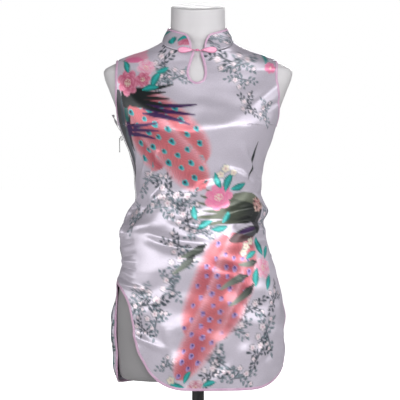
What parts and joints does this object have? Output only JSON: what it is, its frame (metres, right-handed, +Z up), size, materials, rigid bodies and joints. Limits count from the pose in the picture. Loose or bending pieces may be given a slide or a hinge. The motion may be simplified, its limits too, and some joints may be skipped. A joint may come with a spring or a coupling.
{
  "type": "cheongsam dress on dress form",
  "caption": "Sleeveless mini cheongsam in printed silver satin with pink binding, stand collar, keyhole, leaf frog and side slits, worn by a limbless dress form on a short stand.",
  "frame": {"origin": "on the floor, in the middle of the stand base's underside", "axes": "+Z up, -Y towards the front of the dress, +X towards the wearer's left (the right of a front view)"},
  "size_m": [0.3846, 0.3, 1.0022],
  "materials": {
    "printed_satin": "shiny satin printed with blossoms, leaves and plumes",
    "pink_binding": "pink satin bias binding",
    "frog_satin": "padded pink satin",
    "zip_tape": "woven tape",
    "zip_metal": "dull grey metal",
    "form_shell": "smooth pale grey shell",
    "stand_metal": "black paint, half gloss"
  },
  "bodies": {
    "dressed_form": {"front_panel": "printed_satin", "back_panel": "printed_satin", "collar": "printed_satin", "collar_binding": "pink_binding", "keyhole_binding": "pink_binding", "armhole_binding_right": "pink_binding", "armhole_binding_left": "pink_binding", "front_hem_binding": "pink_binding", "back_hem_binding": "pink_binding", "frog_right": "frog_satin", "frog_left": "frog_satin", "frog_knot": "frog_satin", "zip_tape": "zip_tape", "zip_slider": "zip_metal", "dress_form": "form_shell", "stand_flange": "stand_metal", "stand_pole": "stand_metal", "stand_hub": "stand_metal", "stand_base": "stand_metal"},
    "zip_tab": {"zip_pull": "zip_metal"}
  },
  "joints": [
    {"name": "zip_pull_hinge", "type": "hinge", "parent": "dressed_form", "child": "zip_tab", "pos_m": [-0.1606, 0, 0.722], "axis": [0, 1, 0], "range_deg": [0, 140]}
  ]
}
